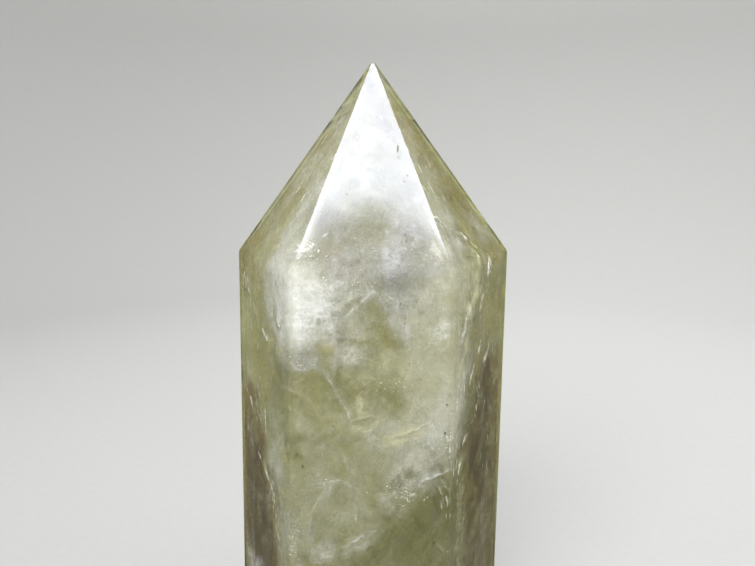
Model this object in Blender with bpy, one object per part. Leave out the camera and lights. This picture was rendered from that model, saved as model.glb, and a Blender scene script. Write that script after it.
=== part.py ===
"""A citrine crystal point: one piece of quartz with six flat polished sides under a
six-sided tip, cut flat across the foot so that it stands by itself.

Metres, +Z up. The origin is the middle of the foot, and the front side faces -Y.
The stone is made as a cutter makes it: a rough block is sawn to height, each side and
then each face of the tip is ground flat, and the sharp edges are rubbed down."""

import math

import bmesh
import bpy
from mathutils import Vector

MM = 0.001

# Driving dimensions.
HEIGHT = 125 * MM  # foot to tip
TIP_HEIGHT = 35 * MM  # the part of the height that the tip takes
FLATS = 45 * MM  # across two opposite sides, just under the tip
FOOT_CHAMFER = 0.8 * MM  # the narrow slope round the foot
EDGE_WIDTH = 0.35 * MM  # the polished-down width of every edge
EDGE_SEGMENTS = 3
BLOCK_MARGIN = 10 * MM  # what the rough block has over the finished stone
SAME_POINT = 0.05 * MM  # corners nearer than this are one corner, as at the apex

SHOULDER = HEIGHT - TIP_HEIGHT
APEX = Vector((0, 0, HEIGHT))

# The six sides, each as the bearing that it faces in degrees, how much further from the
# axis it stands than half of FLATS, and how many degrees it leans out towards the foot.
# The two sides on the left lean out, and the back ones are a little uneven.
SIDES = (
    (270.0, 0.0 * MM, 0.0),
    (330.0, 0.0 * MM, 0.1),
    (29.6, -0.1 * MM, 0.1),
    (91.0, 0.3 * MM, 0.2),
    (150.4, 0.1 * MM, 1.3),
    (210.0, 0.0 * MM, 1.3),
)


def outward(bearing, rise):
    """The unit vector that faces a bearing and looks up by the angle rise."""
    around = math.radians(bearing)
    level = math.cos(rise)
    return Vector((math.cos(around) * level, math.sin(around) * level, math.sin(rise)))


def grind(stone, point, normal):
    """Takes off everything on the outer side of a plane and closes the cut with one face."""
    everything = stone.verts[:] + stone.edges[:] + stone.faces[:]
    cut = bmesh.ops.bisect_plane(
        stone, geom=everything, plane_co=point, plane_no=normal, clear_outer=True
    )
    rim = [item for item in cut["geom_cut"] if isinstance(item, bmesh.types.BMEdge)]
    bmesh.ops.edgeloop_fill(stone, edges=rim)


def rough_block():
    """A block with room for the whole stone, sawn flat at the foot."""
    stone = bmesh.new()
    bmesh.ops.create_cube(stone, size=1)
    width = 1.5 * FLATS + 2 * BLOCK_MARGIN
    height = HEIGHT + BLOCK_MARGIN
    bmesh.ops.scale(stone, vec=(width, width, height), verts=stone.verts)
    bmesh.ops.translate(stone, vec=(0, 0, height / 2), verts=stone.verts)
    return stone


def grind_side(stone, bearing, extra, lean):
    """One side of the body. It turns about its upper end, so a lean widens the foot alone."""
    level = outward(bearing, 0)
    upper_end = level * (FLATS / 2 + extra) + Vector((0, 0, SHOULDER))
    grind(stone, upper_end, outward(bearing, math.radians(lean)))


def grind_tip_face(stone, bearing, extra):
    """One face of the tip, from the upper end of its side to the apex that all six share."""
    slope = math.atan2(TIP_HEIGHT, FLATS / 2 + extra)
    grind(stone, APEX, outward(bearing, math.pi / 2 - slope))


def chamfer_foot(stone, bearing, extra, lean):
    """A narrow slope at 45 degrees where one side meets the foot."""
    reach = FLATS / 2 + extra + SHOULDER * math.tan(math.radians(lean))
    start = outward(bearing, 0) * (reach - FOOT_CHAMFER)
    grind(stone, start, outward(bearing, -math.pi / 4))


def centre_on_foot(stone):
    """Moves the stone so that the origin is the middle of its outline, seen from above."""
    for axis in (0, 1):
        places = [vert.co[axis] for vert in stone.verts]
        shift = -(min(places) + max(places)) / 2
        for vert in stone.verts:
            vert.co[axis] += shift


def citrine():
    """Pale yellow-green quartz with a high polish."""
    material = bpy.data.materials.new("citrine")
    material.use_nodes = True
    shader = material.node_tree.nodes["Principled BSDF"]
    shader.inputs["Base Color"].default_value = (0.55, 0.54, 0.33, 1)
    shader.inputs["Metallic"].default_value = 0
    shader.inputs["Roughness"].default_value = 0.05
    shader.inputs["IOR"].default_value = 1.55
    shader.inputs["Transmission Weight"].default_value = 0.6
    return material


def crystal_point():
    """The whole stone, ground and edged, as one object."""
    stone = rough_block()
    for bearing, extra, lean in SIDES:
        grind_side(stone, bearing, extra, lean)
    for bearing, extra, _ in SIDES:
        grind_tip_face(stone, bearing, extra)
    for bearing, extra, lean in SIDES:
        chamfer_foot(stone, bearing, extra, lean)
    bmesh.ops.remove_doubles(stone, verts=stone.verts, dist=SAME_POINT)
    centre_on_foot(stone)
    bmesh.ops.recalc_face_normals(stone, faces=stone.faces)

    mesh = bpy.data.meshes.new("crystal_point")
    stone.to_mesh(mesh)
    stone.free()
    mesh.materials.append(citrine())
    point = bpy.data.objects.new("crystal_point", mesh)
    bpy.context.scene.collection.objects.link(point)

    edges = point.modifiers.new("polished edges", "BEVEL")
    edges.width = EDGE_WIDTH
    edges.segments = EDGE_SEGMENTS
    edges.limit_method = "ANGLE"
    edges.angle_limit = math.radians(15)
    return point


for old in list(bpy.data.objects):
    bpy.data.objects.remove(old)
crystal_point()
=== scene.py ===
import math

import bmesh
import bpy
import numpy as np
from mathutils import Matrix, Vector


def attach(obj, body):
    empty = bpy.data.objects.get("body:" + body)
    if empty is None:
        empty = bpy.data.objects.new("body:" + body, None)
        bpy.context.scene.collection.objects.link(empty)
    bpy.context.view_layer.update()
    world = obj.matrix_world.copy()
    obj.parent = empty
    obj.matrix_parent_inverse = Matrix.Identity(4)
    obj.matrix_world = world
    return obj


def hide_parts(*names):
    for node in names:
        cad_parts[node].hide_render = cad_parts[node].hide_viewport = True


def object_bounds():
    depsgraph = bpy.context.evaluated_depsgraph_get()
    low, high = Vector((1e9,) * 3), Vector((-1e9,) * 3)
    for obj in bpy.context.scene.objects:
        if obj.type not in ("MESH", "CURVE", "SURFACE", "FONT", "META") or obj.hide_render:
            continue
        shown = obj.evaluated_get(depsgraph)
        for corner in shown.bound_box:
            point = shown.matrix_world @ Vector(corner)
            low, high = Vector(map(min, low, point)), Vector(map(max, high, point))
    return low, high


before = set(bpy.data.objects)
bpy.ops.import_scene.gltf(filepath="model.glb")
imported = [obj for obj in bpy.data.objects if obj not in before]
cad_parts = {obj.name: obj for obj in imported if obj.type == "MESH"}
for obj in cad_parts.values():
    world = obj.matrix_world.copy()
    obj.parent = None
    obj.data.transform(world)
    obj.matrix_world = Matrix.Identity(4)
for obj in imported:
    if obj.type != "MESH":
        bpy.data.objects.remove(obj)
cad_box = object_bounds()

MM = 0.001

# ----------------------------------------
# The crystal: one piece of citrine, ground flat on thirteen faces on a lapidary wheel and
# polished. By hand no face comes out quite flat, and every edge is rubbed a little round.

EDGE_SOFTNESS = 0.1 * MM  # how far the polish rounds an edge back
WAVE_HEIGHT = 0.018 * MM  # how far a hand-polished face strays from flat
WAVE_LENGTH = 17 * MM
LEAST_FACE = 100 * MM * MM  # every cut face is larger than this, and no edge strip is
SAME_WAY, SAME_REACH = 0.9999, 0.05 * MM  # how nearly the triangles of one face agree
RAYS_FROM = (0.1, 0.62)  # rays start from the axis between these shares of the height
CALM_FOOT = 6 * MM  # the waves die away over this height, so the foot stays flat
COLUMNS_A_SIDE = 26
FOOT_ROWS, SIDE_ROWS, TIP_ROWS = 14, 64, 56


def flat_faces(node):
    """The planes of a node's large flat faces, as normals and distances from the origin:
    triangles that face one way at one distance are one face, found largest first."""
    mesh = node.data
    normals = np.empty(len(mesh.polygons) * 3)
    centres = np.empty_like(normals)
    areas = np.empty(len(mesh.polygons))
    mesh.polygons.foreach_get("normal", normals)
    mesh.polygons.foreach_get("center", centres)
    mesh.polygons.foreach_get("area", areas)
    normals, centres = normals.reshape(-1, 3), centres.reshape(-1, 3)
    reach = (normals * centres).sum(axis=1)
    found = []
    while True:
        first = areas.argmax()
        same = (normals @ normals[first] > SAME_WAY) & (np.abs(reach - reach[first]) < SAME_REACH)
        if areas[same].sum() < LEAST_FACE:
            break
        found.append((*normals[first], reach[first]))
        areas = np.where(same, 0.0, areas)
    return np.array(found)


def by_bearing(planes):
    """Planes sorted by the compass bearing that they face."""
    return planes[np.argsort(np.arctan2(planes[:, 1], planes[:, 0]))]


UPRIGHT = 0.1  # a face whose normal rises or falls less than this is a side
FACES = flat_faces(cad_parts["crystal_point"])
SIDES = by_bearing(FACES[np.abs(FACES[:, 2]) < UPRIGHT])
TIP_FACES = by_bearing(FACES[FACES[:, 2] > UPRIGHT])
FOOT = FACES[FACES[:, 2] < -0.9]
LEFT, FRONT, RIGHT, RIGHT_BACK, BACK, LEFT_BACK = SIDES
LEFT_TIP, FRONT_TIP, RIGHT_TIP, RIGHT_BACK_TIP, BACK_TIP, LEFT_BACK_TIP = TIP_FACES


def corner(*planes):
    """The point where three or more planes meet, by least squares."""
    planes = np.array(planes)
    return np.linalg.lstsq(planes[:, :3], planes[:, 3], rcond=None)[0]


def swell(points, length, seed, waves=14):
    """A smooth random height between about -1 and 1 at each point: the sum of sine waves of
    about the given length, each with its own heading and start."""
    random = np.random.default_rng(seed)
    heading = random.normal(size=(waves, points.shape[-1]))
    heading /= np.linalg.norm(heading, axis=1)[:, None]
    number = 2 * math.pi / (length * random.uniform(0.7, 1.5, waves))
    start = random.uniform(0, 2 * math.pi, waves)
    return np.sin(points @ (heading * number[:, None]).T + start).sum(axis=-1) / math.sqrt(waves * 2)


def bunched(count, closeness=0.93):
    """Fractions from 0 up to 1, close together at both ends, where the edges are."""
    even = np.arange(count) / count
    return even - closeness * np.sin(2 * math.pi * even) / (2 * math.pi)


def polished_point():
    """The crystal's surface as rows of points from the middle of the foot up to the tip. A
    point is first laid on the sharp crystal, between corner lines that run up the edges.
    Then, along its own ray from the axis, it is drawn back to the smooth minimum of the
    distances to all the planes and to the CAD box's top and ends, which rounds the edges,
    and moved by the polish's waves. The solid's narrow slope round the foot isn't made."""
    shoulders = [corner(SIDES[k], SIDES[k - 5], TIP_FACES[k], TIP_FACES[k - 5]) for k in range(6)]
    foot_corners = [corner(SIDES[k], SIDES[k - 5], FOOT[0]) for k in range(6)]
    apex = corner(*TIP_FACES)
    foot_middle = np.array([apex[0], apex[1], 0.0])
    stops = [np.broadcast_to(stop, (6, 3)) for stop in (foot_middle, foot_corners, shoulders, apex)]
    rows = []
    for low, high, count in zip(stops, stops[1:], (FOOT_ROWS, SIDE_ROWS, TIP_ROWS)):
        rows.append(low + bunched(count)[:, None, None] * (high - low))
    rows.append(stops[-1][None])
    lines = np.concatenate(rows)
    along = bunched(COLUMNS_A_SIDE)[None, None, :, None]
    sharp = lines[:, :, None] + along * (np.roll(lines, -1, axis=1) - lines)[:, :, None]
    sharp = sharp.reshape(len(lines), -1, 3)
    start = np.zeros_like(sharp)
    start[..., 2] = np.clip(sharp[..., 2], RAYS_FROM[0] * apex[2], RAYS_FROM[1] * apex[2])
    start[..., :2] = foot_middle[:2]
    ray = sharp - start
    reach = np.linalg.norm(ray, axis=-1, keepdims=True)
    ray = ray / reach
    top, right, left = cad_box[1][2], cad_box[1][0], cad_box[0][0]
    limits = np.vstack([FACES, (0, 0, 1, top), (1, 0, 0, right), (-1, 0, 0, -left)])
    distance = (limits[:, 3] - start @ limits[:, :3].T) / np.maximum(ray @ limits[:, :3].T, 1e-6)
    nearest = distance.min(axis=-1, keepdims=True)
    near = np.exp((nearest - distance) / EDGE_SOFTNESS).sum(axis=-1, keepdims=True)
    softened = nearest - EDGE_SOFTNESS * np.log(near)
    wave = WAVE_HEIGHT * (swell(sharp, WAVE_LENGTH, 3)[..., None] - 1)
    wave = wave * np.clip(sharp[..., 2:] / CALM_FOOT, 0, 1)
    return start + ray * (softened + wave)


def surface(name, points, wrapped=True, smooth=True):
    """A mesh object on a grid of points, or on several of one size: one face between each
    four neighbours. A wrapped grid's last column joins its first, and rows that shrink to
    one point are closed there."""
    rows, columns = points.shape[-3:-1]
    index = np.arange(points.size // 3).reshape(-1, rows, columns)
    if wrapped:
        index = np.concatenate([index, index[:, :, :1]], axis=2)
    corners = (index[:, :-1, :-1], index[:, :-1, 1:], index[:, 1:, 1:], index[:, 1:, :-1])
    mesh = bpy.data.meshes.new(name)
    mesh.from_pydata(points.reshape(-1, 3), [], np.stack(corners, axis=-1).reshape(-1, 4))
    work = bmesh.new()
    work.from_mesh(mesh)
    bmesh.ops.remove_doubles(work, verts=work.verts, dist=0.001 * MM)
    work.to_mesh(mesh)
    work.free()
    mesh.polygons.foreach_set("use_smooth", np.full(len(mesh.polygons), smooth))
    thing = bpy.data.objects.new(name, mesh)
    bpy.context.collection.objects.link(thing)
    return thing


def linear(colour):
    """An sRGB hex colour as linear red, green, blue and 1."""
    parts = np.array([int(colour[k:k + 2], 16) for k in (1, 3, 5)]) / 255
    return (*np.where(parts <= 0.04045, parts / 12.92, ((parts + 0.055) / 1.055) ** 2.4), 1.0)


def add(tree, kind, inputs=None, **settings):
    """Adds one node. inputs are its sockets' values, or other nodes' outputs to link."""
    node = tree.nodes.new("ShaderNode" + kind)
    for name, value in settings.items():
        setattr(node, name, value)
    for socket, value in (inputs or {}).items():
        if isinstance(value, bpy.types.NodeSocket):
            tree.links.new(value, node.inputs[socket])
        else:
            node.inputs[socket].default_value = value
    return node


def new_material(name):
    """A material with nothing in it but its output, with the node tree and that output."""
    material = bpy.data.materials.new(name)
    material.use_nodes = True
    material.node_tree.nodes.clear()
    return material, material.node_tree, add(material.node_tree, "OutputMaterial")


def polished_citrine():
    """Polished citrine: quartz that iron colours pale greenish yellow. Seen through a few
    centimetres it goes olive, and its polish mirrors the lights with a trace of grain."""
    material, tree, output = new_material("polished citrine")
    place = add(tree, "TexCoord").outputs["Object"]
    smears = add(tree, "TexNoise", {"Vector": place, "Scale": 90.0, "Detail": 5.0, "Roughness": 0.6})
    polish = add(tree, "MapRange", {"Value": smears.outputs[0], "From Min": 0.35, "From Max": 0.7,
                                    "To Min": 0.012, "To Max": 0.045})
    grain = add(tree, "TexNoise", {"Vector": place, "Scale": 700.0, "Detail": 3.0})
    relief = add(tree, "Bump", {"Height": grain.outputs[0], "Strength": 0.02, "Distance": 0.05 * MM})
    quartz = add(tree, "BsdfPrincipled", {
        "Base Color": linear("#FFFFFF"), "Roughness": polish.outputs[0], "IOR": 1.544,
        "Transmission Weight": 1.0, "Normal": relief.outputs[0]})
    tint = add(tree, "VolumeAbsorption", {"Color": linear("#C8C83A"), "Density": 64.0})
    tree.links.new(quartz.outputs[0], output.inputs["Surface"])
    tree.links.new(tint.outputs[0], output.inputs["Volume"])
    return material


crystal = surface("crystal", polished_point())
crystal.data.materials.append(polished_citrine())
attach(crystal, "root")
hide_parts("crystal_point")
crystal.visible_shadow = False

# ----------------------------------------
# The milk deep in the stone: healed cracks that cross it from face to face. Each is a warped
# sheet set with tiny bubbles of trapped water, which look white where they are dense.

MARGIN = 0.7 * MM  # no crack comes nearer to the surface than this
RINGS, SPOKES = 40, 160
CRACK_FADE = 2.5 * MM  # a crack's milk thins out over this width at its border
WHITENESS = 0.34  # how much of the light a millimetre of the densest cloud stops
HAZE = 0.012  # and a millimetre of the clearest stone
MILK_SWELLS = ((22, 0.9, 11), (10, 0.7, 12), (4.5, 0.5, 13), (2.2, 0.35, 14))  # mm, weight, seed
LOOSE_MILK, WISP_MILK, WISP_WIDTH = 0.10, 0.16, 0.16  # away from the named clouds

CLOUDS = (  # middle, radii and strength of each cloud, in millimetres from the foot's middle
    ((-9.0, -15.0, 84.0), (7.0, 7.0, 9.0), 1.0),
    ((4.0, -10.0, 92.0), (12.0, 9.0, 5.0), 0.3),
    ((11.0, -14.0, 78.0), (5.0, 8.0, 14.0), 0.4),
    ((9.0, -14.0, 57.0), (7.0, 8.0, 5.0), 0.4),
    ((-8.0, -13.0, 49.0), (8.0, 9.0, 9.0), 0.4),
    ((0.5, -12.0, 66.0), (6.0, 6.0, 3.0), 0.3),
    ((6.0, 12.0, 70.0), (9.0, 8.0, 12.0), 0.6),
    ((-10.0, 12.0, 40.0), (9.0, 8.0, 12.0), 0.5),
    ((3.0, 6.0, 100.0), (10.0, 8.0, 8.0), 0.4),
    ((2.0, 20.0, 50.0), (14.0, 6.0, 7.0), 0.5),
    ((-7.0, -9.0, 20.0), (10.0, 9.0, 9.0), 0.55),
    ((9.0, 5.0, 26.0), (9.0, 9.0, 8.0), 0.5),
    ((0.0, 0.0, 5.0), (20.0, 18.0, 5.0), 0.5),
)
WINDOWS = (  # the same for the clear places between them
    ((-10.0, -10.0, 69.0), (7.5, 12.0, 4.5), 0.7),
    ((8.5, -10.0, 43.0), (8.0, 14.0, 7.0), 0.9),
    ((2.0, -12.0, 68.5), (5.0, 10.0, 2.0), 0.3),
    ((-18.0, -15.0, 60.0), (6.0, 6.0, 6.0), 0.8),
)


def blob(points, middle, radii):
    """1 at the middle, falling off like a bell curve over the radii."""
    return np.exp(-(((points / MM - np.array(middle)) / np.array(radii)) ** 2).sum(axis=-1))


def cloudiness(points):
    """How much milk there is at each point: named clouds less the clear windows, broken up
    by swells of several lengths, with wisps where a slow swell passes through zero."""
    broken = sum(weight * swell(points, length * MM, seed) for length, weight, seed in MILK_SWELLS)
    slow = swell(points, 13 * MM, 21) + 0.5 * swell(points, 4 * MM, 22)
    wisps = np.exp(-(slow / WISP_WIDTH) ** 2)
    named = sum(strength * blob(points, middle, radii) for middle, radii, strength in CLOUDS)
    clear = sum(strength * blob(points, middle, radii) for middle, radii, strength in WINDOWS)
    loose = LOOSE_MILK * np.clip(0.3 + broken, 0, None) + WISP_MILK * wisps
    loose = loose * (1 - np.clip(clear, 0, 1))
    return np.clip(named * (0.75 + 0.45 * broken) + loose - 0.25 * clear, 0, None)


def drawn_inside(points, middle):
    """Points drawn back towards the middle until they are MARGIN clear of every face."""
    out = points - middle
    share = (FACES[:, 3] - MARGIN - FACES[:, :3] @ middle) / np.maximum(out @ FACES[:, :3].T, 1e-9)
    return middle + out * np.clip(share.min(axis=-1, keepdims=True), 0, 1)


def crack(middle, facing, sag, seed):
    """A healed crack: rings round its middle, in the plane across facing, each ring a share
    of the way out to the crystal's faces. It swells out of its plane by up to sag."""
    middle, facing = np.array(middle) * MM, np.array(facing) / np.linalg.norm(facing)
    across = np.cross((0.0, 0.0, 1.0) if abs(facing[2]) < 0.9 else (0.0, 1.0, 0.0), facing)
    across /= np.linalg.norm(across)
    turn = np.linspace(0, 2 * math.pi, SPOKES, endpoint=False)[:, None]
    heading = np.cos(turn) * across + np.sin(turn) * np.cross(facing, across)
    reach = (FACES[:, 3] - MARGIN - FACES[:, :3] @ middle) / np.maximum(heading @ FACES[:, :3].T, 1e-9)
    share = np.linspace(0, 1, RINGS)[:, None, None]
    flat = middle + share * reach.min(axis=1)[None, :, None] * heading
    rise = sag * MM * (swell(flat, 24 * MM, seed) + 0.35 * swell(flat, 8 * MM, seed + 1))
    rise -= rise[0, 0]
    return drawn_inside(flat + rise[..., None] * facing, middle)


def border_fade(points, width):
    """0 at MARGIN under the nearest face, rising evenly to 1 over a width."""
    clearance = (FACES[:, 3] - points @ FACES[:, :3].T).min(axis=1)
    return np.clip((clearance - MARGIN) / width, 0, 1)


def vertices(piece):
    """The places of a piece's vertices."""
    spots = np.empty(len(piece.data.vertices) * 3)
    piece.data.vertices.foreach_get("co", spots)
    return spots.reshape(-1, 3)


def mark(piece, name, values):
    """Keeps a number, or a colour if there are three, at each vertex for the shader to read."""
    if values.ndim == 1:
        piece.data.attributes.new(name, "FLOAT", "POINT").data.foreach_set("value", values)
    else:
        with_alpha = np.concatenate([values, np.ones((len(values), 1))], axis=1)
        kept = piece.data.attributes.new(name, "FLOAT_COLOR", "POINT")
        kept.data.foreach_set("color", with_alpha.ravel())


def varied(tree, noise, spread):
    """A noise stretched so that it runs from 1 less a spread to 1 more than it."""
    return add(tree, "MapRange", {"Value": noise.outputs[0], "From Min": 0.34, "From Max": 0.66,
                                  "To Min": 1.0 - spread, "To Max": 1.0 + spread})


def bubble_veil(name, patchiness, grit):
    """A healed crack in quartz: bubbles too small to see one by one, so it scatters light as a mist, thick in
    some places and gone in others, with a granular edge. Iron that crept into some of it stains it yellow or
    brown, and some of that brown is painted shade."""
    material, tree, output = new_material(name)
    place = add(tree, "TexCoord").outputs["Object"]
    milk = add(tree, "Attribute", attribute_name="milk").outputs["Fac"]
    tone = add(tree, "Attribute", attribute_name="tone").outputs["Color"]
    mist = add(tree, "TexNoise", {"Vector": place, "Scale": 330.0, "Detail": 6.0, "Roughness": 0.65,
                                  "Distortion": 0.4})
    grain = add(tree, "TexNoise", {"Vector": place, "Scale": 1700.0, "Detail": 4.0, "Roughness": 0.75})
    patchy = varied(tree, mist, patchiness)
    gritty = varied(tree, grain, grit)
    thick = add(tree, "Math", {0: patchy.outputs[0], 1: gritty.outputs[0]}, operation="MULTIPLY")
    passed = add(tree, "Math", {0: 1.0, 1: milk}, operation="SUBTRACT", use_clamp=True)
    passed = add(tree, "Math", {0: passed.outputs[0], 1: thick.outputs[0]}, operation="POWER")
    cover = add(tree, "Math", {0: 1.0, 1: passed.outputs[0]}, operation="SUBTRACT", use_clamp=True)
    lit = add(tree, "BsdfDiffuse", {"Color": tone})
    through = add(tree, "BsdfTranslucent", {"Color": tone})
    scatter = add(tree, "MixShader", {0: 0.35, 1: lit.outputs[0], 2: through.outputs[0]})
    clear = add(tree, "BsdfTransparent")
    veil = add(tree, "MixShader", {0: cover.outputs[0], 1: clear.outputs[0], 2: scatter.outputs[0]})
    tree.links.new(veil.outputs[0], output.inputs["Surface"])
    return material


DEEP_MIST = linear("#E2E3E8")[:3]

CRACKS = (  # middle, the way it faces, sag and how many millimetres of milk it stands for
    ((0, -15.0, 66), (-0.08, -1.0, 0.10), 2.0, 4.5),
    ((0, -9.5, 62), (0.12, -1.0, -0.05), 2.5, 6.0),
    ((0, -2.0, 62), (0.0, -1.0, 0.15), 3.0, 8.0),
    ((0, 7.0, 60), (-0.15, -1.0, 0.0), 3.0, 9.0),
    ((2.5, -10.5, 98), (0.0, -1.0, 0.62), 1.2, 3.0),
    ((0, -2.0, 100), (0.1, -1.0, 0.5), 1.5, 4.0),
    ((-13.0, -6, 62), (-0.87, -0.45, 0.1), 1.8, 5.0),
    ((13.0, -6, 62), (0.87, -0.45, -0.1), 1.8, 5.0),
)

deep_veil = bubble_veil("bubble veil", 0.75, 0.4)
for number, (middle, facing, sag, depth) in enumerate(CRACKS):
    sheet = surface(f"healed_crack_{number + 1}", crack(middle, facing, sag, 100 + 10 * number))
    spots = vertices(sheet)
    fade = border_fade(spots, CRACK_FADE)
    mark(sheet, "milk", fade * (1 - np.exp(-depth * (HAZE + WHITENESS * cloudiness(spots)))))
    mark(sheet, "tone", np.broadcast_to(DEEP_MIST, spots.shape))
    sheet.data.materials.append(deep_veil)
    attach(sheet, "root")

# ----------------------------------------
# The veils close under the faces: cracks that run nearly along a face and healed with more bubbles than most.
# Some are white mist and some are stained yellow or brown by iron. The broad umber and brown over the lower
# left and right faces is partly iron stain and partly painted shade: it darkens those faces the way dim
# surroundings seen through them would.

TONES = {
    "snow": "#F7F8FF", "cream": "#F4F1D2", "mist": "#E9E9EC", "lilac": "#C9C9D4",
    "pale": "#CFCDB3", "honey": "#B5B184", "olive": "#8F8C50", "moss": "#66642F",
    "smoke": "#85837D", "umber": "#877A4E", "brown": "#65583A",
}
TONES = {tone: linear(colour)[:3] for tone, colour in TONES.items()}

# Each patch has its tone, how much it covers, how wide its edge fades, how ragged it is, the
# heading of its streaks in degrees (or none), and its outline: across the face and height in mm.
FRONT_PATCHES = (
    ("pale", 0.16, 3.0, 2.0, 62, ((-18, 92), (18, 92), (19, 20), (-19, 20))),
    ("pale", 0.35, 2.5, 0.7, 15, ((-3, 76), (6, 77), (8, 71), (-3.5, 71))),
    ("honey", 0.24, 4.0, 0.4, 20, ((-17, 74), (-7.5, 73.5), (-4, 67.5), (-3.5, 63), (-17, 63))),
    ("pale", 0.18, 4.0, 0.6, 80, ((6, 87), (15, 88), (18, 68), (9.5, 67), (6, 75.5))),
    ("olive", 0.30, 3.0, 0.5, 80, ((-3.5, 71), (6, 70.5), (5, 66), (-2.5, 65), (-4, 68.5))),
    ("moss", 0.45, 4.0, 0.5, 60, ((9, 50.5), (11, 53), (18, 53), (18, 30), (-6, 28), (-3, 38), (3.5, 44.5))),
    ("olive", 0.28, 3.0, 1.3, 60, ((-15, 62), (-5.5, 61), (-2.5, 54), (-1.5, 47), (-6, 38), (-9, 28),
                                   (-17, 28))),
    ("mist", 0.16, 3.0, 1.6, None, ((-11, 94), (14, 94), (15, 88), (11, 84), (7, 83), (4, 82),
                                    (1.5, 87), (-3, 84), (-12, 86))),
    ("lilac", 0.34, 1.4, 0.9, None, ((2, 92), (7, 91), (7.5, 83.5), (4.5, 82), (3, 84.5))),
    ("umber", 0.20, 1.6, 2.6, None, ((-8, 92), (2, 92), (1, 86.5), (-6, 88))),
    ("smoke", 0.35, 2.0, 1.2, None, ((-7, 92), (13, 92), (9, 86), (2, 87), (-4, 86))),
    ("mist", 0.26, 1.2, 1.8, None, ((-6, 92), (1.5, 92), (1.5, 86.5), (-3, 82), (-5, 84))),
    ("mist", 0.84, 3.2, 0.4, 172, ((-13.4, 91.5), (-10, 90), (-4, 88), (-3, 85.5), (-5, 81.5),
                                   (-7.5, 78), (-12, 76.6))),
    ("snow", 0.88, 4.0, 0.2, 172, ((-12.8, 87.4), (-8, 87), (-5, 83.8), (-9, 80.5), (-11.6, 80.5))),
    ("snow", 0.66, 2.4, 0.4, 165, ((-13.5, 81), (-10, 80.5), (-9, 78.5), (-13, 77))),
    ("mist", 0.40, 2.4, 0.7, 150, ((-7, 80), (-2, 78.5), (0, 77), (-1, 74.5), (-4.5, 75), (-8, 79))),
    ("lilac", 0.45, 1.6, 0.9, 150, ((-15, 77.5), (-7.5, 77), (-6.5, 74), (-11, 73), (-14, 75))),
    (None, 0.93, 0.8, 0.2, None, ((1.6, 86.6), (2.6, 85.6), (4, 83), (5.2, 80), (6.4, 76.8),
                                  (2.5, 77), (-2, 78.5), (-3.6, 82))),
    ("honey", 0.34, 0.9, 0.3, 100, ((1.6, 86), (4, 82), (5.5, 77), (2.5, 76.5), (-2, 78.5), (-3.4, 82))),
    ("olive", 0.50, 0.9, 0.3, 110, ((1.9, 85.4), (4, 82.6), (6, 77.6), (3.6, 77.4), (2.2, 81))),
    ("mist", 0.40, 1.4, 0.9, None, ((11.5, 82), (14, 82.5), (15, 79), (12.5, 78))),
    ("mist", 0.35, 2.4, 0.7, 80, ((13.5, 75), (17, 75), (17.5, 64), (12, 66))),
    ("pale", 0.65, 0.9, 0.3, None, ((-1, 69.5), (0, 69), (1, 66.5), (-1.5, 66))),
    ("pale", 0.85, 0.8, 0.4, 10, ((-2.5, 64.5), (-1.5, 64), (3.5, 65.5), (2, 63.5), (-1.5, 63))),
    ("pale", 0.70, 1.1, 0.5, 20, ((1.5, 61), (5.5, 62.5), (9, 64.5), (10, 63.5), (6, 60.5), (2, 60))),
    ("mist", 0.12, 2.0, 2.2, 35, ((6, 60), (10, 62), (14.5, 64.5), (17, 61.5), (15.5, 56), (11, 54),
                                  (7, 57.5))),
    ("mist", 0.20, 1.4, 1.9, 35, ((3, 56), (7, 58), (11, 54), (6.5, 52), (4, 48), (1, 49), (2, 52))),
    ("olive", 0.22, 2.4, 1.2, 70, ((-4, 60.5), (5, 60.5), (3, 56.5), (0, 52), (-3.5, 54.5))),
    ("mist", 0.42, 1.8, 1.4, 75, ((-15, 51.5), (-13, 49.5), (-12, 43), (-11, 34), (-16, 34))),
    ("mist", 0.40, 1.4, 0.8, None, ((-8.5, 43), (-5, 42), (-6, 39), (-9, 39))),
    ("mist", 0.40, 1.1, 0.7, 20, ((-4.5, 40.5), (-2.5, 42.5), (2.5, 45), (3, 44), (-2, 41))),
    ("moss", 0.75, 1.2, 0.6, None, ((6.5, 56), (7.5, 57), (9, 55.5), (7, 54))),
    ("moss", 0.70, 1.2, 0.6, None, ((4, 54.5), (6, 55), (7, 53), (4.5, 52))),
    ("olive", 0.65, 1.2, 0.6, None, ((0, 52.5), (2, 52.5), (1.5, 50), (0, 50.5))),
    ("honey", 0.60, 1.4, 0.5, None, ((-8, 78.5), (-5, 78.5), (-4.5, 76), (-7.5, 75))),
    ("moss", 0.55, 1.2, 0.8, 80, ((-13, 61.8), (-10.6, 61.5), (-10.8, 58.5), (-13, 58.5))),
)
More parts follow.
